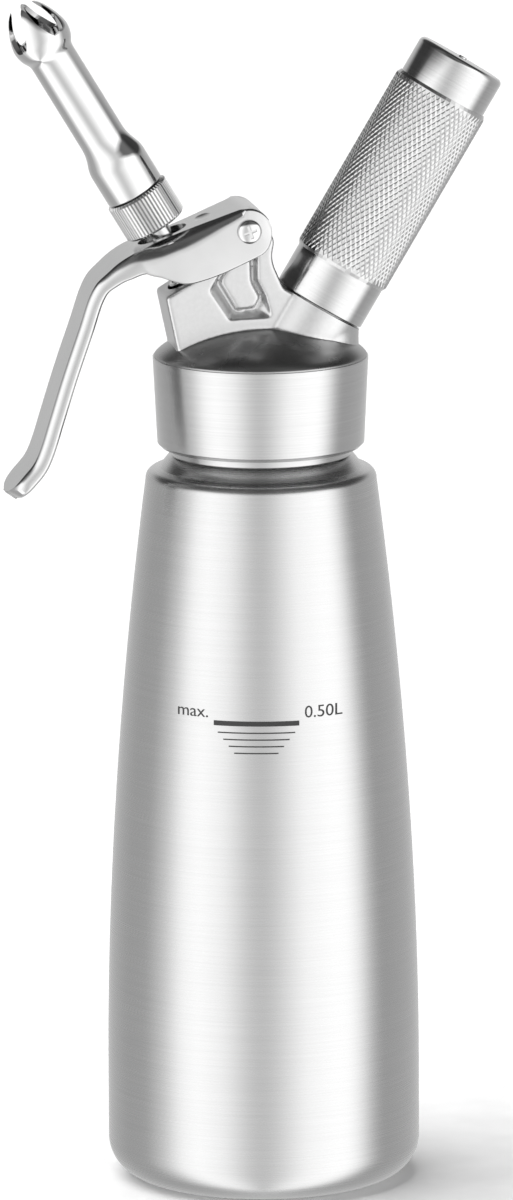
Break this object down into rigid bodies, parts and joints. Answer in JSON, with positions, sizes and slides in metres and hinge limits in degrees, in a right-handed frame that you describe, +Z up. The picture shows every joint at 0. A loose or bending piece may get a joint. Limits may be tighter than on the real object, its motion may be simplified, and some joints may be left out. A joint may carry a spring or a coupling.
{
  "type": "whipped cream dispenser",
  "caption": "Steel cream whipper: tapered bottle, screw-on cast head with a sprung lever valve, a pointed tulip nozzle and a knurled gas charger holder.",
  "frame": {"origin": "centre of the bottle's underside, on the plane that the bottle stands on; the claimed face is the shallow dished centre of the underside, 1 mm above that plane", "axes": "+Z up along the bottle's axis; the nozzle leans to -X and the charger holder to +X, both in the plane Y = 0; the lever's handle hangs on the -X side; -Y faces the viewer"},
  "size_m": [0.1286, 0.08, 0.3065],
  "materials": {
    "brushed_steel": "finely brushed round the axis, satin",
    "cast_head": "satin cast and blasted, brushed collar, polished dome",
    "lever_steel": "polished, softly grained",
    "nozzle_chrome": "bright",
    "knurled_steel": "knurled grip between turned bands",
    "turned_steel": "turned, plain",
    "screw_chrome": "bright",
    "charger_steel": "zinc plated, smooth",
    "brass": "turned",
    "black_rubber": "matte moulded"
  },
  "bodies": {
    "bottle": {"bottle": "brushed_steel"},
    "seal_ring": {"head_gasket": "black_rubber"},
    "head": {"head_body": "cast_head", "check_valve": "black_rubber", "check_valve_nut": "brass", "piercing_pin": "turned_steel", "pin_holder": "brass", "charger_seal": "black_rubber", "valve_spring": "turned_steel"},
    "lever": {"lever": "lever_steel", "pivot_screw": "screw_chrome", "pivot_nut": "screw_chrome"},
    "valve": {"valve_stem": "turned_steel", "valve_seal": "black_rubber", "stem_o_ring": "black_rubber", "thrust_collar": "turned_steel", "nozzle_adaptor": "knurled_steel"},
    "nozzle_seal": {"nozzle_gasket": "black_rubber"},
    "nozzle": {"nozzle": "nozzle_chrome"},
    "charger": {"charger": "charger_steel"},
    "charger_holder": {"charger_holder": "knurled_steel"}
  },
  "joints": [
    {"name": "head_lift", "type": "slide", "parent": "bottle", "child": "seal_ring", "axis": [0, 0, 1], "range_m": [0, 0.00802]},
    {"name": "head_unscrew", "type": "hinge", "parent": "seal_ring", "child": "head", "pos_m": [0, 0, 0.2], "axis": [0, 0, 1], "range_deg": [0, 720]},
    {"name": "lever_press", "type": "hinge", "parent": "head", "child": "lever", "pos_m": [-0.00461, 0, 0.24738], "axis": [0, -1, 0], "range_deg": [0, 10], "stiffness_Nm_per_rad": 1, "springref_deg": -20.05},
    {"name": "valve_travel", "type": "slide", "parent": "head", "child": "valve", "axis": [0.515, 0, -0.8572], "range_m": [0, 0.00335], "deforming": ["valve_spring"]},
    {"name": "nozzle_lift", "type": "slide", "parent": "valve", "child": "nozzle_seal", "axis": [-0.515, 0, 0.8572], "range_m": [0, 0.00401]},
    {"name": "nozzle_unscrew", "type": "hinge", "parent": "nozzle_seal", "child": "nozzle", "pos_m": [-0.03348, 0, 0.25932], "axis": [-0.515, 0, 0.8572], "range_deg": [0, 720]},
    {"name": "charger_lift", "type": "slide", "parent": "head", "child": "charger", "axis": [0.515, 0, 0.8572], "range_m": [0, 0.00752]},
    {"name": "holder_unscrew", "type": "hinge", "parent": "charger", "child": "charger_holder", "pos_m": [0.0309, 0, 0.25243], "axis": [0.515, 0, 0.8572], "range_deg": [0, 1080]}
  ],
  "couplings": [
    {"joint": "head_lift", "follows": "head_unscrew", "m_per_rad": 0.00063662},
    {"joint": "valve_travel", "follows": "lever_press", "m_per_rad": 0.0191},
    {"joint": "nozzle_lift", "follows": "nozzle_unscrew", "m_per_rad": 0.00031831},
    {"joint": "charger_lift", "follows": "holder_unscrew", "m_per_rad": 0.00039789}
  ]
}
